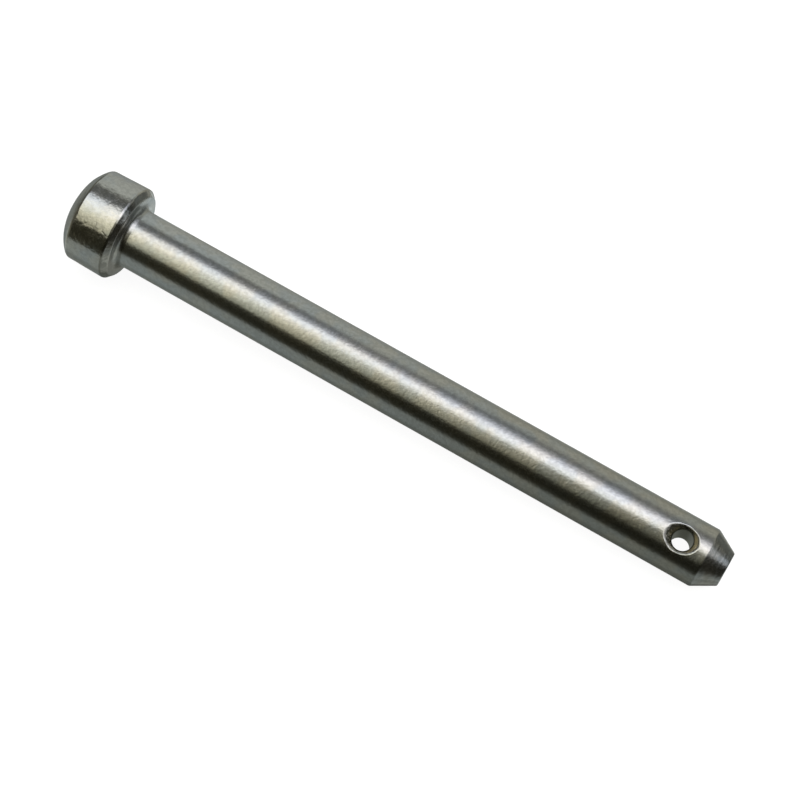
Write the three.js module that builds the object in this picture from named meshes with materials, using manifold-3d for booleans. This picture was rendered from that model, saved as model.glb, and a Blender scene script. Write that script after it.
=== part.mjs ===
// Receiver hitch pin: one forged and turned steel pin with a domed head, a pointed
// tip and a countersunk cross hole for a spring clip.
//
// Frame: millimetres, +Z up. The pin's axis is X, the head is at -X and the tip at
// +X. The cross hole runs along Z. The origin is on the axis, halfway between the top
// of the crown and the end of the tip.

import * as THREE from 'three';
import { mergeVertices } from 'three/addons/utils/BufferGeometryUtils.js';
import Module from 'manifold-3d';

// ---- Driving dimensions, millimetres ----

// Shank
const PIN_DIAMETER = 15.875;        // 5/8 inch, for a standard 2 inch receiver
const UNDER_HEAD_LENGTH = 173.0;    // seat face to the end of the tip
const GRIP_LENGTH = 160.3;          // seat face to the centre of the cross hole
const HEAD_FILLET = 1.8;            // radius where the shank meets the seat face

// Head: nearly cylindrical, with a little forging draft towards the crown
const HEAD_DIAMETER = 25.76;        // at the chamfer under the head
const CROWN_DIAMETER = 25.32;       // where the crown's corner starts
const HEAD_CYLINDER = 10.1;         // length of the cylindrical side
const SEAT_DIAMETER = 22.8;         // outer edge of the flat seat face
const SEAT_CHAMFER = 1.5;           // length of the chamfer, along the axis
const CROWN_CORNER = 1.2;           // radius between the side and the crown
const CROWN_HEIGHT = 4.85;          // top of the crown above the cylindrical side
const CROWN_A = 0.0125;             // fall of the crown = A r^2 + B r^4
const CROWN_B = 0.0000945;

// Tip
const TIP_CONE_LENGTH = 6.0;        // 30 degrees to the axis
const TIP_END_DIAMETER = 9.05;      // where the cone would meet the end face
const TIP_EDGE_BREAK = 0.3;         // small break round the end face

// Cross hole
const CROSS_HOLE_DIAMETER = 5.35;   // takes a 3/16 inch clip wire
const COUNTERSINK_RIM = 8.75;        // across the rim, measured along the pin
const COUNTERSINK_SLOPE = 1.0;      // 90 degree countersink: radius gained per depth

// Facets
const SHANK_SEGMENTS = 80;
const HOLE_SEGMENTS = 40;

// ---- Derived sizes ----

const SHANK_R = PIN_DIAMETER / 2;
const HEAD_LENGTH = SEAT_CHAMFER + HEAD_CYLINDER + CROWN_HEIGHT;
const OVERALL_LENGTH = HEAD_LENGTH + UNDER_HEAD_LENGTH;
const SEAT_X = -OVERALL_LENGTH / 2 + HEAD_LENGTH;
const HOLE_X = SEAT_X + GRIP_LENGTH;

// ---- Outline of the pin, from the crown to the tip ----
// Each station is a distance along the axis from the seat face and a radius.

function crownStations() {
  // The dome falls away from the axis, and a round corner of CROWN_CORNER turns it
  // into the side of the head.
  const rimR = CROWN_DIAMETER / 2;
  const top = -HEAD_LENGTH;
  const fall = (r) => CROWN_A * r * r + CROWN_B * r ** 4;
  const slope = (r) => 2 * CROWN_A * r + 4 * CROWN_B * r ** 3;
  // The corner's arc starts where its own slope equals the dome's.
  let start = rimR - CROWN_CORNER;
  for (let i = 0; i < 40; i++) {
    const angle = Math.atan(slope(start));
    start = rimR - CROWN_CORNER + CROWN_CORNER * Math.sin(angle);
  }
  const angle0 = Math.atan(slope(start));
  const stations = [];
  for (const t of [0, 0.2, 0.38, 0.54, 0.68, 0.8, 0.9, 1]) {
    const r = t * start;
    stations.push([top + fall(r), r]);
  }
  const arcX = top + fall(start) + CROWN_CORNER * Math.cos(angle0);
  for (let i = 1; i <= 4; i++) {
    const a = angle0 + ((Math.PI / 2 - angle0) * i) / 4;
    stations.push([
      arcX - CROWN_CORNER * Math.cos(a),
      rimR - CROWN_CORNER + CROWN_CORNER * Math.sin(a),
    ]);
  }
  return stations;
}

function pinStations() {
  const stations = crownStations();
  // Side of the head, chamfer and flat seat face
  stations.push([-SEAT_CHAMFER, HEAD_DIAMETER / 2]);
  stations.push([0, SEAT_DIAMETER / 2]);
  // Fillet from the seat face to the shank
  for (let i = 0; i <= 6; i++) {
    const a = (Math.PI / 2) * (i / 6);
    stations.push([
      HEAD_FILLET * (1 - Math.cos(a)),
      SHANK_R + HEAD_FILLET * (1 - Math.sin(a)),
    ]);
  }
  // Tip cone, edge break and end face
  const coneSlope = (SHANK_R - TIP_END_DIAMETER / 2) / TIP_CONE_LENGTH;
  stations.push([UNDER_HEAD_LENGTH - TIP_CONE_LENGTH, SHANK_R]);
  stations.push([
    UNDER_HEAD_LENGTH - TIP_EDGE_BREAK,
    TIP_END_DIAMETER / 2 + coneSlope * TIP_EDGE_BREAK,
  ]);
  stations.push([UNDER_HEAD_LENGTH, TIP_END_DIAMETER / 2 - TIP_EDGE_BREAK * 0.6]);
  stations.push([UNDER_HEAD_LENGTH, 0]);
  return stations;
}

// A solid of revolution about Y, as three.js makes it.
function revolve(stations, segments) {
  const points = stations.map(([along, radius]) => new THREE.Vector2(radius, along));
  return new THREE.LatheGeometry(points, segments);
}

// ---- Joining and cutting ----

const wasm = await Module();
wasm.setup();

function toSolid(geometry) {
  const g = geometry.clone();
  g.deleteAttribute('normal');
  g.deleteAttribute('uv');
  const merged = mergeVertices(g, 1e-5);
  const index = Array.from(merged.index.array);
  const position = merged.attributes.position.array;
  // Triangles that closed up on the axis are dropped.
  const triangles = [];
  for (let i = 0; i < index.length; i += 3) {
    const [a, b, c] = [index[i], index[i + 1], index[i + 2]];
    if (a !== b && b !== c && c !== a) triangles.push(a, b, c);
  }
  const make = (triVerts) => new wasm.Manifold(new wasm.Mesh({
    numProp: 3,
    vertProperties: Float32Array.from(position),
    triVerts: Uint32Array.from(triVerts),
  }));
  const solid = make(triangles);
  if (solid.volume() > 0) return solid;
  const flipped = [];
  for (let i = 0; i < triangles.length; i += 3) {
    flipped.push(triangles[i], triangles[i + 2], triangles[i + 1]);
  }
  return make(flipped);
}

function toGeometry(solid) {
  const mesh = solid.getMesh();
  const geometry = new THREE.BufferGeometry();
  const positions = new Float32Array(mesh.numVert * 3);
  for (let v = 0; v < mesh.numVert; v++) {
    for (let k = 0; k < 3; k++) {
      positions[3 * v + k] = mesh.vertProperties[v * mesh.numProp + k];
    }
  }
  geometry.setAttribute('position', new THREE.BufferAttribute(positions, 3));
  geometry.setIndex(Array.from(mesh.triVerts));
  geometry.computeVertexNormals();
  return geometry;
}

// ---- The pin ----

// Turned about Y, then laid down so that the tip points along +X.
const blank = revolve(pinStations(), SHANK_SEGMENTS);
blank.rotateZ(-Math.PI / 2);
blank.translate(SEAT_X, 0, 0);

// The drill and its two countersinks are one cutter, longer than the shank is thick.
const drillR = CROSS_HOLE_DIAMETER / 2;
const throat = SHANK_R - (COUNTERSINK_RIM / 2 - drillR) / COUNTERSINK_SLOPE;
const reach = SHANK_R + 1.0;
const mouthR = drillR + (reach - throat) * COUNTERSINK_SLOPE;
const cutter = revolve([
  [-reach, 0],
  [-reach, mouthR],
  [-throat, drillR],
  [throat, drillR],
  [reach, mouthR],
  [reach, 0],
], HOLE_SEGMENTS);
cutter.rotateX(Math.PI / 2);
cutter.translate(HOLE_X, 0, 0);

const pinSolid = toSolid(blank).subtract(toSolid(cutter));

const zincPlatedSteel = new THREE.MeshStandardMaterial({
  color: 0xb4b6b0,
  roughness: 0.3,
  metalness: 1.0,
});

const hitchPin = new THREE.Mesh(toGeometry(pinSolid), zincPlatedSteel);
hitchPin.name = 'hitch_pin';

const group = new THREE.Group();
group.add(hitchPin);

export default group;
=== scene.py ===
import math

import bpy
import numpy as np
from mathutils import Matrix, Vector


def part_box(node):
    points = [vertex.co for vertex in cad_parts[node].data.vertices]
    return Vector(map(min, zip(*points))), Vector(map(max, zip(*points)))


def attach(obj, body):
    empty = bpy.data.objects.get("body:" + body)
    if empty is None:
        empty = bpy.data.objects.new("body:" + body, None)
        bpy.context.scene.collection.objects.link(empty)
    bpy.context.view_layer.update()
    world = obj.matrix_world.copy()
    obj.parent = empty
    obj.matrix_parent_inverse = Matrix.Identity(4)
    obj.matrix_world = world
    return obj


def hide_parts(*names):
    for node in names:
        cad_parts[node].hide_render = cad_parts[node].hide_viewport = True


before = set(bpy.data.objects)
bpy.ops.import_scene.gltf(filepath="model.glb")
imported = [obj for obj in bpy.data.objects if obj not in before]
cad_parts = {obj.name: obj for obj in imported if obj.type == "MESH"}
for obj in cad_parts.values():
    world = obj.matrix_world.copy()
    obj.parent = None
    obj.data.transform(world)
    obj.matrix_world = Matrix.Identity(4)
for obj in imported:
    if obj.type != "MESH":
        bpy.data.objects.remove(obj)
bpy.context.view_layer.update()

SCENE = bpy.context.scene
NODE_LOW, NODE_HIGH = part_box("hitch_pin")

# ---------------------------------------------------------------------------
# Sizes of the pin, millimetres. The crown's top and the tip's end come from the frame.
# ---------------------------------------------------------------------------
SHANK_R = 15.875 / 2
SEAT_CHAMFER = 1.5
HEAD_CYLINDER = 10.1
CROWN_HEIGHT = 4.85
HEAD_LENGTH = SEAT_CHAMFER + HEAD_CYLINDER + CROWN_HEIGHT
HEAD_R = 25.76 / 2
CROWN_R = 25.32 / 2
CROWN_CORNER = 1.2
SEAT_R = 22.8 / 2
HEAD_FILLET = 1.8
UNDER_HEAD = 173.0
GRIP = 160.3
CONE = 6.0
TIP_R = 9.05 / 2
HOLE_R = 5.35 / 2
RIM_R = 8.75 / 2
THROAT_Z = SHANK_R - (RIM_R - HOLE_R)
SINK_SHIFT = 0.30        # the countersinks sit this far off the hole, towards the head

CROWN_X = NODE_LOW.x * 1000
TIP_X = NODE_HIGH.x * 1000
SEAT_X = CROWN_X + HEAD_LENGTH
HOLE_X = SEAT_X + GRIP
CONE_X = TIP_X - CONE

COLUMNS = 320            # round the pin
PATCH_CELLS_X = 40       # the square of mesh round each mouth of the cross hole
PATCH_COLUMNS = 38
PATCH_HALF = 6.2


# ---------------------------------------------------------------------------
# Seeded noise for the surface's real unevenness
# ---------------------------------------------------------------------------
def _hash(ix, iy, iz, seed):
    h = (ix.astype(np.uint64) * np.uint64(73856093)) ^ (iy.astype(np.uint64) * np.uint64(19349663))
    h ^= iz.astype(np.uint64) * np.uint64(83492791)
    h ^= np.uint64(seed * 2654435761 % 2**32)
    h = (h ^ (h >> np.uint64(13))) * np.uint64(1274126177) & np.uint64(0xFFFFFFFF)
    h = (h ^ (h >> np.uint64(16))) * np.uint64(2246822519) & np.uint64(0xFFFFFFFF)
    h ^= h >> np.uint64(15)
    return (h & np.uint64(0xFFFFFF)).astype(float) / float(0xFFFFFF) * 2 - 1


def noise(p, size, seed):
    """Smooth value noise between -1 and 1. p is n by 3, in mm, and size is the wavelength in mm."""
    q = p / size + 4096.0
    i = np.floor(q).astype(np.int64)
    f = q - i
    f = f * f * f * (f * (f * 6 - 15) + 10)
    total = np.zeros(len(p))
    for dx in (0, 1):
        for dy in (0, 1):
            for dz in (0, 1):
                w = (
                    (f[:, 0] if dx else 1 - f[:, 0])
                    * (f[:, 1] if dy else 1 - f[:, 1])
                    * (f[:, 2] if dz else 1 - f[:, 2])
                )
                total += w * _hash(i[:, 0] + dx, i[:, 1] + dy, i[:, 2] + dz, seed)
    return total


def smooth(a, b, x):
    t = np.clip((x - a) / (b - a), 0, 1)
    return t * t * (3 - 2 * t)


# ---------------------------------------------------------------------------
# Outline of the pin, as stations of (x, radius), crown to tip
# ---------------------------------------------------------------------------
def span(a, b, step):
    n = max(1, int(math.ceil(abs(b - a) / step)))
    return [a + (b - a) * i / n for i in range(1, n + 1)]


def line(p, q, step):
    n = max(1, int(math.ceil(math.dist(p, q) / step)))
    return [(p[0] + (q[0] - p[0]) * i / n, p[1] + (q[1] - p[1]) * i / n) for i in range(1, n + 1)]


def arc(centre, radius, a0, a1, n):
    """Points on an arc; the angle runs from -x towards +r."""
    out = []
    for i in range(1, n + 1):
        a = a0 + (a1 - a0) * i / n
        out.append((centre[0] - radius * math.cos(a), centre[1] + radius * math.sin(a)))
    return out


def rounded(before, corner, after, radius, n=5):
    """Replaces a corner of the outline by a round of about that radius."""
    def toward(p, q, d):
        length = math.dist(p, q)
        return (p[0] + (q[0] - p[0]) * d / length, p[1] + (q[1] - p[1]) * d / length)
    a, b = toward(corner, before, radius), toward(corner, after, radius)
    out = []
    for i in range(n + 1):
        t = i / n
        out.append(tuple((1 - t) ** 2 * a[k] + 2 * t * (1 - t) * corner[k] + t * t * b[k] for k in (0, 1)))
    return out


def outline():
    fall = lambda r: 0.0125 * r * r + 0.0000945 * r**4
    slope = lambda r: 0.025 * r + 0.000378 * r**3
    start = CROWN_R - CROWN_CORNER
    for _ in range(40):
        start = CROWN_R - CROWN_CORNER + CROWN_CORNER * math.sin(math.atan(slope(start)))
    a0 = math.atan(slope(start))
    st = [(CROWN_X + fall(r), r) for r in [0.12] + span(0.12, start, 0.3)]
    arc_x = CROWN_X + fall(start) + CROWN_CORNER * math.cos(a0)
    st += arc((arc_x, CROWN_R - CROWN_CORNER), CROWN_CORNER, a0, math.pi / 2, 10)
    # side of the head, chamfer, seat face
    edge = (SEAT_X - SEAT_CHAMFER, HEAD_R)
    seat = (SEAT_X, SEAT_R)
    fillet0 = (SEAT_X, SHANK_R + HEAD_FILLET)
    r1 = rounded(st[-1], edge, seat, 0.42)
    r2 = rounded(edge, seat, fillet0, 0.3)
    st += line(st[-1], r1[0], 0.26) + r1[1:]
    st += line(st[-1], r2[0], 0.24) + r2[1:]
    st += line(st[-1], fillet0, 0.24)
    for i in range(1, 13):
        a = math.pi / 2 * i / 12
        st.append((SEAT_X + HEAD_FILLET * (1 - math.cos(a)), SHANK_R + HEAD_FILLET * (1 - math.sin(a))))
    # shank up to the mesh square round the hole, the square, and the rest of the shank
    st += [(x, SHANK_R) for x in span(st[-1][0], HOLE_X - PATCH_HALF, 0.62)]
    first = len(st) - 1
    st += [(HOLE_X - PATCH_HALF + 2 * PATCH_HALF * i / PATCH_CELLS_X, SHANK_R) for i in range(1, PATCH_CELLS_X + 1)]
    last = len(st) - 1
    cone0, cone1 = (CONE_X, SHANK_R), (TIP_X, TIP_R)
    r3 = rounded(st[-1], cone0, cone1, 0.3)
    st += line(st[-1], r3[0], 0.2) + r3[1:]
    r4 = rounded(cone0, cone1, (TIP_X, 0), 0.34)
    st += line(st[-1], r4[0], 0.26) + r4[1:]
    st += line(st[-1], (TIP_X, 0.12), 0.3)
    return st, first, last


def unevenness(p, normal_x):
    """How far the surface stands off its true shape, in mm: a forged head, a drawn shank, a turned tip."""
    x = p[:, 0]
    head = 1 - smooth(SEAT_X - 0.4, SEAT_X + 1.2, x)
    tip = smooth(CONE_X - 0.2, CONE_X + 0.6, x)
    shank = (1 - head) * (1 - tip)
    lumps = 0.034 * noise(p, 5.2, 11) + 0.016 * noise(p, 2.3, 12) + 0.011 * noise(p, 1.1, 13)
    pits = np.clip(noise(p, 0.8, 14) - 0.3, 0, 1) ** 1.4
    long_wave = p * np.array([1.0, 0.4, 0.4])
    drawn = 0.006 * noise(long_wave, 6.5, 21) + 0.0042 * noise(p, 2.6, 22) + 0.0026 * noise(p, 1.2, 23)
    turned = p * np.array([1.0, 0.08, 0.08])
    cone = 0.004 * noise(turned, 0.62, 31) + 0.003 * noise(p, 1.6, 32)
    return head * (lumps - 0.038 * pits) + shank * drawn + tip * cone


def build_pin():
    st, first, last = outline()
    st = np.array(st)
    n_st = len(st)
    d = np.gradient(st, axis=0)
    length = np.hypot(d[:, 0], d[:, 1])
    normal = np.stack([-d[:, 1], d[:, 0]], 1) / length[:, None]   # (x, r), outwards
    th = 2 * np.pi * np.arange(COLUMNS) / COLUMNS
    verts, index = [], -np.ones((n_st, COLUMNS), int)
    count = 0
    half = COLUMNS // 2
    offset = ((np.arange(COLUMNS) + half) % COLUMNS) - half     # signed column from the top
    for i in range(n_st):
        for j in range(COLUMNS):
            if first < i < last:
                o = offset[j]
                b = ((half - j + half) % COLUMNS) - half        # signed column from the bottom
                if abs(o) < PATCH_COLUMNS or abs(b) < PATCH_COLUMNS:
                    continue
            index[i, j] = count
            count += 1
            verts.append((st[i, 0], st[i, 1] * math.sin(th[j]), st[i, 1] * math.cos(th[j]),
                          normal[i, 0], normal[i, 1] * math.sin(th[j]), normal[i, 1] * math.cos(th[j])))
    faces = []
    for i in range(n_st - 1):
        for j in range(COLUMNS):
            k = (j + 1) % COLUMNS
            q = (index[i, j], index[i + 1, j], index[i + 1, k], index[i, k])
            if min(q) >= 0:
                faces.append(q)
    # the cells of the squares whose corners all lie on the square's border are not part of the wall
    def in_square(i, j):
        if not first <= i < last:
            return False
        o = offset[j]
        b = ((half - j + half) % COLUMNS) - half
        return (-PATCH_COLUMNS <= o < PATCH_COLUMNS) or (-PATCH_COLUMNS < b <= PATCH_COLUMNS)
    keep = []
    pos = 0
    for i in range(n_st - 1):
        for j in range(COLUMNS):
            k = (j + 1) % COLUMNS
            q = (index[i, j], index[i + 1, j], index[i + 1, k], index[i, k])
            if min(q) >= 0:
                if not in_square(i, j):
                    keep.append(q)
    faces = keep
    # poles
    pole0 = count; verts.append((CROWN_X, 0, 0, -1, 0, 0)); count += 1
    pole1 = count; verts.append((TIP_X, 0, 0, 1, 0, 0)); count += 1
    for j in range(COLUMNS):
        k = (j + 1) % COLUMNS
        faces.append((pole0, index[0, j], index[0, k]))
        faces.append((pole1, index[-1, k], index[-1, j]))

    # the border of a square, once round, as (station, column from the mouth's centre)
    loop = [(last, j) for j in range(0, PATCH_COLUMNS)]
    loop += [(i, PATCH_COLUMNS) for i in range(last, first, -1)]
    loop += [(first, j) for j in range(PATCH_COLUMNS, -PATCH_COLUMNS, -1)]
    loop += [(i, -PATCH_COLUMNS) for i in range(first, last)]
    loop += [(last, j) for j in range(-PATCH_COLUMNS, 0)]
    top = [index[i, j % COLUMNS] for i, j in loop]
    bottom = [index[i, (half - j) % COLUMNS] for i, j in loop]
    assert min(top) >= 0 and min(bottom) >= 0
    m = len(loop)
    u = np.array([st[i, 0] - HOLE_X for i, j in loop])
    y = np.array([SHANK_R * math.sin(2 * math.pi * j / COLUMNS) for i, j in loop])
    ang = np.arctan2(y, u)
    border = np.hypot(u, y)
    # radius of the countersink's rim at each angle
    lo, hi = np.full(m, HOLE_R), np.full(m, 6.5)
    for _ in range(50):
        mid = (lo + hi) / 2
        g = THROAT_Z + np.hypot(mid * np.cos(ang) + SINK_SHIFT, mid * np.sin(ang)) - HOLE_R
        g -= np.sqrt(SHANK_R**2 - (mid * np.sin(ang)) ** 2)
        lo, hi = np.where(g < 0, mid, lo), np.where(g < 0, hi, mid)
    rim = (lo + hi) / 2

    around = np.stack([4 * np.cos(ang), 4 * np.sin(ang), np.zeros(m)], 1)
    lean = 0.5 - 0.5 * np.cos(ang - math.radians(30))            # 1 towards the head and the -Y side
    rim_wear_and_painted_shade = 0.36 + 0.34 * lean + 0.15 * noise(around, 1.9, 41) + 0.10 * noise(around, 0.8, 42)   # how round the rim is
    rim_wear_and_painted_shade = np.clip(rim_wear_and_painted_shade, 0.2, None)
    burr = 0.014 * (1 + 0.8 * noise(around, 1.3, 43))

    chatter = 0.07 * noise(around, 1.5, 44) + 0.045 * noise(around, 0.7, 45)

    def surface(rho):
        z_cyl = np.sqrt(SHANK_R**2 - (rho * np.sin(ang)) ** 2)
        z_cone = THROAT_Z + np.hypot(rho * np.cos(ang) + SINK_SHIFT, rho * np.sin(ang)) - HOLE_R
        z_cone = z_cone + chatter * smooth(HOLE_R + 0.5, HOLE_R + 1.1, rho)
        h = np.clip(rim_wear_and_painted_shade - np.abs(z_cyl - z_cone), 0, None) / rim_wear_and_painted_shade
        z = np.minimum(z_cyl, z_cone) - h * h * rim_wear_and_painted_shade / 4
        return z + burr * np.exp(-(((rho - rim - 0.42) / 0.17) ** 2))

    rings = []
    for t in np.linspace(0, 1, 11)[1:]:
        rings.append(border + (rim + 1.0 - border) * t)
    for o in (0.88, 0.77, 0.67, 0.58, 0.49, 0.41, 0.33, 0.25, 0.17, 0.09, 0.01, -0.07, -0.15, -0.24, -0.34, -0.45, -0.56):
        rings.append(rim + o)
    inner = rim - 0.56
    for t in np.linspace(0, 1, 8)[1:]:
        rings.append(inner + (HOLE_R + 0.34 - inner) * t)
    rings = [(rho, surface(rho)) for rho in rings]
    lip = THROAT_Z + SINK_SHIFT * np.cos(ang)                    # height of the throat's edge
    a, c, e = (HOLE_R + 0.34, lip + 0.34), (HOLE_R, lip), (HOLE_R, lip - 0.4)
    for t in (0.15, 0.3, 0.45, 0.6, 0.75, 0.88, 1.0):
        rho = (1 - t) ** 2 * a[0] + 2 * t * (1 - t) * c[0] + t * t * e[0]
        z = (1 - t) ** 2 * a[1] + 2 * t * (1 - t) * c[1] + t * t * e[1]
        rings.append((np.full(m, rho), z))
    rings += [(np.full(m, HOLE_R), (lip - 0.4) * (1 - t)) for t in np.linspace(0, 1, 13)[1:]]
    ids = [top]
    full = [(r, z) for r, z in rings] + [(r, -z) for r, z in rings[-2::-1]]
    for rho, z in full:
        row = []
        for q in range(m):
            verts.append((HOLE_X + rho[q] * math.cos(ang[q]), rho[q] * math.sin(ang[q]), z[q], 0, 0, 0))
            row.append(count)
            count += 1
        ids.append(row)
    ids.append(bottom)
    for r in range(len(ids) - 1):
        for q in range(m):
            s = (q + 1) % m
            faces.append((ids[r][q], ids[r + 1][q], ids[r + 1][s], ids[r][s]))

    v = np.array(verts, float)
    p, nrm = v[:, :3].copy(), v[:, 3:]
    # the hole's own vertices near the shank's surface take the shank's normal
    own = np.abs(nrm).sum(1) == 0
    r = np.hypot(p[:, 1], p[:, 2])
    on_skin = own & (r > SHANK_R - 0.01)
    nrm[on_skin, 1:] = p[on_skin, 1:] / r[on_skin, None]
    p += nrm * unevenness(p, nrm[:, 0])[:, None]
    me = bpy.data.meshes.new("pin_surface")
    me.from_pydata((p / 1000).tolist(), [], faces)
    me.validate()
    me.update()
    ob = bpy.data.objects.new("pin", me)
    SCENE.collection.objects.link(ob)
    import bmesh
    bm = bmesh.new()
    bm.from_mesh(me)
    bmesh.ops.recalc_face_normals(bm, faces=bm.faces)
    open_edges = sum(1 for e in bm.edges if len(e.link_faces) != 2)
    print("pin: vertices", len(bm.verts), "faces", len(bm.faces), "open edges", open_edges, "volume mm3", bm.calc_volume() * 1e9)
    bm.to_mesh(me)
    bm.free()
    me.polygons.foreach_set("use_smooth", [True] * len(me.polygons))
    me.update()
    return ob


# ---------------------------------------------------------------------------
# Small helpers for node trees
# ---------------------------------------------------------------------------
class Tree:
    def __init__(self, tree):
        self.t = tree
        tree.nodes.clear()

    def new(self, kind, **props):
        n = self.t.nodes.new(kind)
        for k, v in props.items():
            setattr(n, k, v)
        return n

    def link(self, a, b):
        self.t.links.new(a, b)

    def put(self, socket, value):
        if hasattr(value, "node"):
            self.t.links.new(value, socket)
        else:
            socket.default_value = value

    def math(self, op, a, b=0.0, c=None, clamp=False):
        n = self.new("ShaderNodeMath", operation=op, use_clamp=clamp)
        self.put(n.inputs[0], a)
        self.put(n.inputs[1], b)
        if c is not None:
            self.put(n.inputs[2], c)
        return n.outputs[0]

    def vmath(self, op, a, b=(0, 0, 0)):
        n = self.new("ShaderNodeVectorMath", operation=op)
        self.put(n.inputs[0], a)
        self.put(n.inputs[1], b)
        return n.outputs[0]

    def step(self, x, a, b, lo=0.0, hi=1.0):
        n = self.new("ShaderNodeMapRange", interpolation_type="SMOOTHSTEP")
        self.put(n.inputs[0], x)
        n.inputs[1].default_value, n.inputs[2].default_value = a, b
        n.inputs[3].default_value, n.inputs[4].default_value = lo, hi
        return n.outputs[0]

    def noise(self, vector, scale, detail=2.0, rough=0.5, lac=2.0):
        n = self.new("ShaderNodeTexNoise")
        self.put(n.inputs["Vector"], vector)
        n.inputs["Scale"].default_value = scale
        n.inputs["Detail"].default_value = detail
        n.inputs["Roughness"].default_value = rough
        n.inputs["Lacunarity"].default_value = lac
        return n.outputs[0]

    def ramp(self, x, stops, mode="LINEAR"):
        n = self.new("ShaderNodeValToRGB")
        self.put(n.inputs[0], x)
        cr = n.color_ramp
        cr.interpolation = mode
        while len(cr.elements) < len(stops):
            cr.elements.new(0.5)
        for e, (pos, col) in zip(cr.elements, stops):
            e.position = pos
        for e, (pos, col) in zip(cr.elements, stops):
            e.color = (*col, 1.0) if len(col) == 3 else col
        return n.outputs[0]

    def mix(self, f, a, b, kind="MIX"):
        n = self.new("ShaderNodeMix", data_type="RGBA", blend_type=kind)
        self.put(n.inputs[0], f)
        self.put(n.inputs[6], a if hasattr(a, "node") else (*a, 1.0))
        self.put(n.inputs[7], b if hasattr(b, "node") else (*b, 1.0))
        return n.outputs[2]

    def mixf(self, f, a, b):
        n = self.new("ShaderNodeMix", data_type="FLOAT")
        self.put(n.inputs[0], f)
        self.put(n.inputs[2], a)
        self.put(n.inputs[3], b)
        return n.outputs[0]


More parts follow.
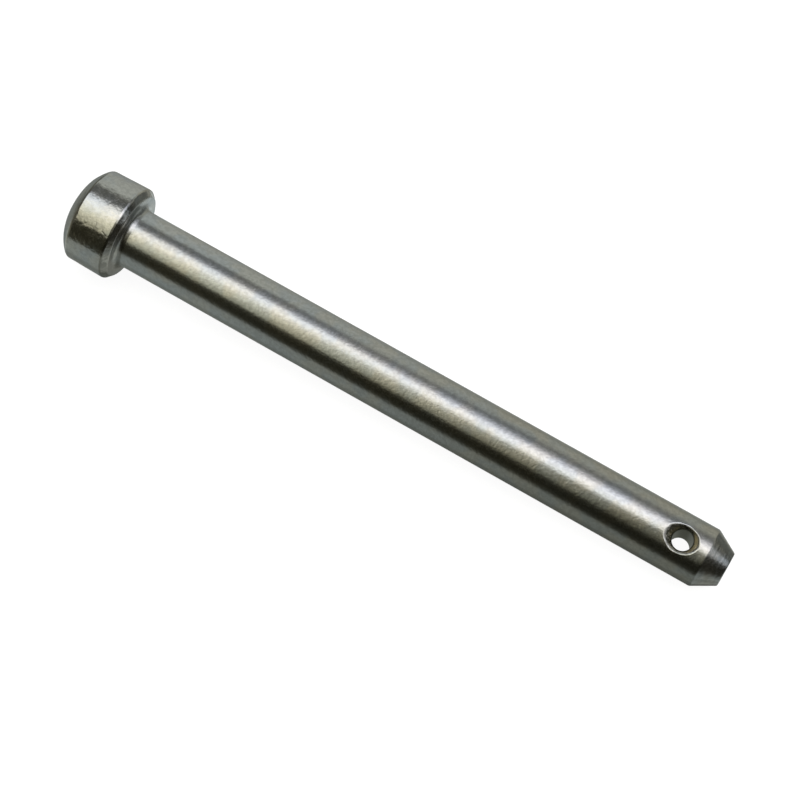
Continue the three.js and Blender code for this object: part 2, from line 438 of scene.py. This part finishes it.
def zinc_steel():
    mat = bpy.data.materials.new("zinc_plated_steel")
    mat.use_nodes = True
    t = Tree(mat.node_tree)
    out = t.new("ShaderNodeOutputMaterial")
    bsdf = t.new("ShaderNodeBsdfPrincipled")
    t.link(bsdf.outputs[0], out.inputs[0])
    co = t.new("ShaderNodeTexCoord").outputs["Object"]
    sep = t.new("ShaderNodeSeparateXYZ")
    t.link(co, sep.inputs[0])
    x = sep.outputs[0]
    head = t.step(x, (SEAT_X - 0.2) / 1000, (SEAT_X + 1.0) / 1000, 1.0, 0.0)
    tip = t.step(x, (CONE_X - 0.2) / 1000, (CONE_X + 0.3) / 1000)
    # inside the cross hole: near its axis and below the shank's skin
    y2 = t.math("MULTIPLY", sep.outputs[1], sep.outputs[1])
    z2 = t.math("MULTIPLY", sep.outputs[2], sep.outputs[2])
    depth = t.math("SQRT", t.math("ADD", y2, z2))
    along = t.math("SUBTRACT", x, HOLE_X / 1000)
    from_hole = t.math("SQRT", t.math("ADD", t.math("MULTIPLY", along, along), y2))
    inside = t.math("MULTIPLY", t.step(depth, (SHANK_R - 0.46) / 1000, (SHANK_R - 0.16) / 1000, 1.0, 0.0),
                    t.step(from_hole, 0.0046, 0.0050, 1.0, 0.0))
    bored = t.math("MULTIPLY", inside, t.step(from_hole, (HOLE_R + 0.05) / 1000, (HOLE_R + 0.3) / 1000, 1.0, 0.0))
    # marks that run round the pin: fast along the axis, slow round it
    round_marks = t.vmath("MULTIPLY", co, (1.0, 0.07, 0.07))
    fine = t.noise(round_marks, 5200, 3.0, 0.6)
    coarse = t.noise(round_marks, 1300, 2.0, 0.5)
    drill = t.noise(t.vmath("MULTIPLY", co, (0.12, 0.12, 1.0)), 3600, 2.0, 0.55)
    ripple = t.noise(co, 1350, 1.5, 0.5)
    grain = t.noise(co, 2600, 2.0, 0.55)
    mottle = t.noise(co, 1150, 1.0, 0.45)
    cloud = t.noise(co, 900, 2.0, 0.6)
    broad = t.noise(co, 140, 2.0, 0.5)
    # height, in metres, for the bump
    shank_h = t.math("ADD", t.math("MULTIPLY", fine, 0.0000040), t.math("MULTIPLY", ripple, 0.0000205))
    shank_h = t.math("ADD", shank_h, t.math("MULTIPLY", grain, 0.0000105))
    head_h = t.math("ADD", t.math("MULTIPLY", mottle, 0.000034), t.math("MULTIPLY", grain, 0.000008))
    dents = t.step(t.noise(co, 1250, 0.0, 0.5), 0.56, 0.80)
    pocks = t.step(t.noise(co, 850, 0.0, 0.5), 0.56, 0.90)
    head_h = t.math("SUBTRACT", head_h, t.math("MULTIPLY", dents, 0.000008))
    head_h = t.math("SUBTRACT", head_h, t.math("MULTIPLY", pocks, 0.000020))
    shank_h = t.math("SUBTRACT", shank_h, t.math("MULTIPLY", dents, 0.000006))
    turn_h = t.math("MULTIPLY", coarse, 0.000060)
    h = t.mixf(head, shank_h, head_h)
    h = t.math("ADD", h, t.math("MULTIPLY", tip, turn_h))
    h = t.mixf(inside, h, t.math("MULTIPLY", drill, 0.000007))
    bump = t.new("ShaderNodeBump")
    bump.inputs["Strength"].default_value = 1.0
    bump.inputs["Distance"].default_value = 1.0
    t.link(h, bump.inputs["Height"])
    t.link(bump.outputs[0], bsdf.inputs["Normal"])
    # colour: warm zinc with cooler patches and a fine clouding; in the cross hole painted shade and a painted
    # reflection, a darker olive bore wall as painted shade, and a darkened rim lip as painted shade
    warm, cool = (0.50, 0.495, 0.455), (0.455, 0.475, 0.47)
    col = t.mix(t.step(broad, 0.4, 0.6), warm, cool)
    col = t.mix(t.step(cloud, 0.36, 0.64), t.mix(0.22, col, (0.20, 0.20, 0.185)), col)
    # painted light in the countersinks: near-black painted shade on the head side, a pale warm painted reflection on
    # the tip side
    countersink_painted_light = t.mix(t.step(along, 0.0014, 0.0028), (0.12, 0.12, 0.095), (0.96, 0.85, 0.58))
    # painted highlight: paler towards -Y
    countersink_painted_light = t.mix(t.step(sep.outputs[1], -0.0022, -0.0032), countersink_painted_light, (0.50, 0.48, 0.38))
    # paler flecks from noise, on the -Y half
    flecks = t.math("MULTIPLY", t.step(t.noise(co, 1900, 1.0, 0.5), 0.50, 0.66), t.step(sep.outputs[1], 0.0016, 0.0002))
    countersink_painted_light = t.mix(t.math("MULTIPLY", flecks, 0.8), countersink_painted_light, (0.72, 0.70, 0.62))
    # the countersinks and bore take this painted shade and painted reflection as their colour
    col = t.mix(t.math("MULTIPLY", inside, 0.92), col, countersink_painted_light)
    # painted shade: the bore wall is a darker olive
    col = t.mix(t.math("MULTIPLY", bored, 0.85), col, (0.33, 0.34, 0.285))
    # painted shade: the rounded lip round each mouth of the cross hole is darkened, broken up by noise, to dim its
    # highlight
    rim_wear_and_painted_shade = t.math("MULTIPLY", t.step(depth, (SHANK_R - 0.02) / 1000, (SHANK_R - 0.07) / 1000), t.math("SUBTRACT", 1.0, inside))
    rim_wear_and_painted_shade = t.math("MULTIPLY", rim_wear_and_painted_shade, t.step(from_hole, 0.0056, 0.0052))
    rim_wear_and_painted_shade = t.math("MULTIPLY", rim_wear_and_painted_shade, t.step(t.noise(co, 1500, 1.0, 0.5), 0.40, 0.58, 0.15, 0.75))
    col = t.mix(rim_wear_and_painted_shade, col, (0.25, 0.25, 0.225))
    t.link(col, bsdf.inputs["Base Color"])
    rough = t.mixf(head, 0.215, 0.170)
    rough = t.math("ADD", rough, t.math("MULTIPLY", t.math("SUBTRACT", mottle, 0.5), 0.10))
    rough = t.math("ADD", rough, t.math("MULTIPLY", inside, 0.08))
    rim = t.math("MULTIPLY", t.step(from_hole, 0.0033, 0.0036), t.step(from_hole, 0.0054, 0.0050))
    rim = t.math("MULTIPLY", rim, t.step(depth, (SHANK_R - 0.02) / 1000, (SHANK_R - 0.07) / 1000))
    rough = t.math("ADD", rough, t.math("MULTIPLY", rim, t.step(t.noise(co, 1300, 1.0, 0.5), 0.38, 0.62, 0.08, 0.26)))
    seat = t.math("MULTIPLY", t.step(depth, (SHANK_R + 0.4) / 1000, (SHANK_R + 1.2) / 1000),
                  t.step(x, (SEAT_X - 0.4) / 1000, (SEAT_X - 0.1) / 1000))
    rough = t.math("ADD", rough, t.math("MULTIPLY", seat, 0.13))
    t.link(rough, bsdf.inputs["Roughness"])
    bsdf.inputs["Metallic"].default_value = 1.0
    return mat


pin = build_pin()
pin.data.materials.append(zinc_steel())
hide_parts("hitch_pin")
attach(pin, "root")


# ---------------------------------------------------------------------------
# Floor: the pin lies on the rim of its head and the end of its shank, so the floor leans with it
# ---------------------------------------------------------------------------
def build_floor():
    rest_a = (SEAT_X - SEAT_CHAMFER, -HEAD_R)
    rest_b = (CONE_X, -SHANK_R)
    slope = (rest_b[1] - rest_a[1]) / (rest_b[0] - rest_a[0])
    middle_z = rest_a[1] - slope * rest_a[0] - 0.03
    rings = [(r, 0.0) for r in (0.0, 0.3, 0.8, 1.6)]
    for i in range(1, 15):
        a = math.pi / 2 * i / 14
        rings.append((1.6 + 1.2 * math.sin(a), 1.2 * (1 - math.cos(a))))
    rings.append((2.8, 4.0))
    n = 96
    verts, faces = [(0, 0, 0)], []
    for r, z in rings[1:]:
        for j in range(n):
            a = 2 * math.pi * j / n
            verts.append((r * math.cos(a), r * math.sin(a), z))
    for j in range(n):
        faces.append((0, 1 + j, 1 + (j + 1) % n))
    for i in range(len(rings) - 2):
        for j in range(n):
            k = (j + 1) % n
            faces.append((1 + i * n + j, 1 + (i + 1) * n + j, 1 + (i + 1) * n + k, 1 + i * n + k))
    me = bpy.data.meshes.new("studio_floor")
    me.from_pydata(verts, [], faces)
    me.polygons.foreach_set("use_smooth", [True] * len(me.polygons))
    ob = bpy.data.objects.new("studio_floor", me)
    SCENE.collection.objects.link(ob)
    ob.matrix_world = Matrix.Translation((0, 0, middle_z / 1000)) @ Matrix.Rotation(-math.atan(slope), 4, "Y")
    mat = bpy.data.materials.new("studio_floor")
    mat.use_nodes = True
    b = mat.node_tree.nodes["Principled BSDF"]
    b.inputs["Base Color"].default_value = (0.12, 0.12, 0.12, 1)
    b.inputs["Emission Color"].default_value = (1, 1, 1, 1)
    b.inputs["Emission Strength"].default_value = 0.93
    b.inputs["Roughness"].default_value = 0.9
    b.inputs["Specular IOR Level"].default_value = 0.1
    me.materials.append(mat)
    ob.visible_glossy = False
    ob.visible_shadow = False
    ob.visible_diffuse = False
    return ob


build_floor()


# ---------------------------------------------------------------------------
# Light: a soft studio round the pin, as bands by the angle round the pin's axis
# ---------------------------------------------------------------------------
def studio_world():
    world = bpy.data.worlds.new("studio")
    SCENE.world = world
    world.use_nodes = True
    t = Tree(world.node_tree)
    out = t.new("ShaderNodeOutputWorld")
    bg = t.new("ShaderNodeBackground")
    t.link(bg.outputs[0], out.inputs[0])
    d = t.new("ShaderNodeTexCoord").outputs["Generated"]
    sep = t.new("ShaderNodeSeparateXYZ")
    t.link(d, sep.inputs[0])
    dx, dy, dz = sep.outputs
    psi = t.math("ARCTAN2", dy, dz)                       # 0 is up, +90 degrees is +Y
    pos = t.math("MULTIPLY_ADD", psi, 1 / (2 * math.pi), 0.5)
    at = lambda deg: deg / 360 + 0.5
    def scale(col, f):
        n = t.new("ShaderNodeVectorMath", operation="SCALE")
        t.put(n.inputs[0], col)
        t.put(n.inputs["Scale"], f)
        return n.outputs[0]

    def tone(level, warm=0.0, green=0.03):
        return (level * (1 + warm), level * (1 + green), level * (1 - warm))

    def bands(stops):
        """Light by the angle round the pin's axis, in degrees from straight up towards +Y."""
        return t.ramp(pos, [(at(deg), col if isinstance(col, tuple) else tone(col)) for deg, col in stops])

    # the room beside the head: table, dark corner, broad warm softbox, gap, pale wall, table
    head_end = bands([
        (-180, tone(0.22, 0.0, 0.06)),
        (-150, tone(0.22, 0.0, 0.08)),
        (-128, tone(0.375, -0.03, 0.06)),
        (-92, tone(0.36, 0.0, 0.06)),
        (-86, tone(0.045, 0.2, 0.14)),
        (-70, tone(0.020, 0.28, 0.2)),
        (-42, tone(0.030, 0.28, 0.2)),
        (-34, tone(0.68, 0.15, 0.11)),
        (-26, tone(0.83, 0.13, 0.10)),
        (-11, tone(1.26, 0.12, 0.08)),
        (4, tone(1.72, 0.07, 0.03)),
        (14, tone(1.84, 0.01, 0.0)),
        (22, tone(1.66, -0.02, -0.01)),
        (29, tone(1.22, -0.03, -0.01)),
        (35, tone(0.30, -0.03, 0.0)),
        (42, tone(0.16, -0.02, 0.02)),
        (55, tone(0.14, 0.01, 0.04)),
        (61, tone(0.28, 0.0, 0.04)),
        (69, tone(0.68, -0.01, 0.04)),
        (85, tone(0.61, -0.01, 0.04)),
        (110, tone(0.56, 0.0, 0.04)),
        (128, tone(0.45, 0.01, 0.04)),
        (152, tone(0.27, 0.02, 0.05)),
        (180, tone(0.22, 0.0, 0.06)),
    ])
    # the room beside the tip: the softbox is narrower and brighter here
    tip_end = bands([
        (-180, tone(0.12, 0.05, 0.08)),
        (-148, tone(0.12, 0.04, 0.10)),
        (-128, tone(0.20, 0.03, 0.09)),
        (-96, tone(0.215, 0.03, 0.08)),
        (-90, tone(0.16, 0.06, 0.09)),
        (-85, tone(0.03, 0.2, 0.16)),
        (-66, tone(0.010, 0.28, 0.22)),
        (-45, tone(0.012, 0.3, 0.22)),
        (-34, tone(0.050, 0.2, 0.16)),
        (-19, tone(0.145, 0.16, 0.12)),
        (-4, tone(0.22, 0.14, 0.10)),
        (6, tone(1.42, 0.03, 0.02)),
        (14, tone(2.02, 0.0, -0.02)),
        (24, tone(2.15, -0.02, -0.04)),
        (32, tone(1.76, -0.04, -0.05)),
        (40, tone(1.12, -0.05, -0.05)),
        (48, tone(0.60, -0.05, -0.03)),
        (57, tone(0.26, -0.03, 0.0)),
        (65, tone(0.20, 0.0, 0.02)),
        (76, tone(0.36, 0.03, 0.05)),
        (87, tone(0.46, 0.06, 0.06)),
        (110, tone(0.42, 0.08, 0.07)),
        (128, tone(0.29, 0.07, 0.07)),
        (150, tone(0.36, 0.02, 0.05)),
        (180, tone(0.12, 0.05, 0.08)),
    ])
    base = t.mix(t.step(dx, -0.26, -0.05), head_end, tip_end)
    # past the tip: a dark room above a dull table, darker on the +Y side, and the softbox's far end
    up = t.math("MULTIPLY_ADD", dz, 0.5, 0.5)
    past_tip = t.ramp(up, [
        (0.0, tone(0.27, 0.02, 0.06)),
        (0.12, tone(0.29, 0.01, 0.06)),
        (0.22, tone(0.20, 0.0, 0.06)),
        (0.42, tone(0.225, 0.0, 0.06)),
        (0.47, tone(0.20, 0.02, 0.06)),
        (0.50, tone(0.11, 0.06, 0.06)),
        (0.54, tone(0.032, 0.16, 0.1)),
        (0.72, tone(0.013, 0.2, 0.1)),
        (0.80, tone(0.038, 0.06, 0.05)),
        (1.0, tone(0.06, 0.06, 0.04)),
    ])
    past_tip = scale(past_tip, t.step(dy, -0.15, 0.45, 1.12, 0.72))
    far_end = bands([
        (4, (0, 0, 0)),
        (12, tone(0.16, 0.0, 0.0)),
        (22, tone(0.42, -0.04, 0.0)),
        (34, tone(0.50, -0.07, -0.01)),
        (48, tone(0.54, -0.07, 0.0)),
        (60, tone(0.26, -0.04, 0.02)),
        (70, (0, 0, 0)),
    ])
    far_end = scale(far_end, t.step(dx, 0.97, 0.88))
    past_tip = t.vmath("ADD", past_tip, far_end)
    # past the head: the same dark room above a paler table, with a warm glow along the horizon
    past_head = t.ramp(up, [
        (0.0, tone(0.24, 0.0, 0.06)),
        (0.12, tone(0.25, -0.01, 0.06)),
        (0.24, tone(0.30, 0.0, 0.06)),
        (0.30, tone(0.26, 0.02, 0.06)),
        (0.38, tone(0.16, 0.05, 0.08)),
        (0.49, tone(0.13, 0.10, 0.10)),
        (0.56, tone(0.14, 0.2, 0.14)),
        (0.64, tone(0.085, 0.15, 0.1)),
        (1.0, tone(0.10, 0.08, 0.05)),
    ])
    past = t.math("SUBTRACT", dx, t.step(dz, -0.05, 0.15, 0.0, 0.30))
    side = t.math("MULTIPLY", t.step(dy, 0.30, 0.50), t.step(dz, 0.02, 0.15))
    side = t.math("MAXIMUM", side, t.step(dz, 0.24, 0.44))
    past = t.math("SUBTRACT", past, t.math("MULTIPLY", side, 0.13))
    total = t.mix(t.step(past, 0.24, 0.38), base, past_tip)
    past_head = scale(past_head, t.math("MULTIPLY_ADD", t.step(dy, -0.05, -0.35), t.step(dz, 0.05, -0.15, 0.1, 0.7), 1.0))
    side = t.math("MULTIPLY", t.step(dz, -0.05, 0.15), t.step(dy, -0.35, -0.10))
    past = t.math("ADD", dx, t.math("MULTIPLY", side, 0.26))
    total = t.mix(t.step(past, -0.34, -0.50), total, past_head)
    # the paler table far beyond the tip
    beyond = t.math("MULTIPLY", t.step(dx, 0.55, 0.68), t.step(dz, -0.22, -0.42))
    total = t.vmath("ADD", total, scale((0.25, 0.26, 0.245), beyond))
    t.link(total, bg.inputs["Color"])
    bg.inputs["Strength"].default_value = 1.0
    world.cycles.sampling_method = "MANUAL"
    world.cycles.sample_map_resolution = 1024


studio_world()


def floor_light():
    """Evens out the white floor. It isn't reflected by the pin."""
    data = bpy.data.lights.new("floor_light", "SUN")
    data.energy = 2.6
    data.angle = math.radians(60)
    ob = bpy.data.objects.new("floor_light", data)
    SCENE.collection.objects.link(ob)
    ob.rotation_euler = (math.radians(-14), math.radians(6), 0)
    ob.visible_glossy = False


floor_light()


def bounce_card():
    """A small pale card on the table beside the head. Only the underside of the head reflects it."""
    data = bpy.data.lights.new("bounce_card", "AREA")
    data.shape = "RECTANGLE"
    data.size, data.size_y = 0.009, 0.014
    data.color = (0.85, 0.97, 1.03)
    data.spread = math.radians(80)                        # too narrow to reach the shank's side
    data.energy = math.pi * data.size * data.size_y * 0.50 / 3.4
    ob = bpy.data.objects.new("bounce_card", data)
    SCENE.collection.objects.link(ob)
    ob.location = ((SEAT_X + 3.4) / 1000, 0.0152, -0.0118)
    ob.rotation_euler = (math.pi, 0, 0)
    ob.visible_camera = False


bounce_card()


# ---------------------------------------------------------------------------
# Camera
# ---------------------------------------------------------------------------
def build_camera():
    cam = bpy.data.cameras.new("camera")
    cam.sensor_width = 36
    cam.lens = 103.62
    cam.clip_start = 0.01
    cam.clip_end = 30
    ob = bpy.data.objects.new("camera", cam)
    SCENE.collection.objects.link(ob)
    right = Vector((0.86254697, 0.50485002, -0.0337517))
    up = Vector((-0.4846313, 0.84348929, 0.23164266))
    back = Vector((0.145414, -0.18344554, 0.97221526))
    place = Vector((0.08767406, -0.10923127, 0.56356889))
    ob.matrix_world = Matrix((
        (right.x, up.x, back.x, place.x),
        (right.y, up.y, back.y, place.y),
        (right.z, up.z, back.z, place.z),
        (0, 0, 0, 1),
    ))
    SCENE.camera = ob


build_camera()
SCENE.view_settings.view_transform = "Standard"
SCENE.view_settings.look = "None"
SCENE.view_settings.exposure = 0.0
SCENE.view_settings.gamma = 1.0
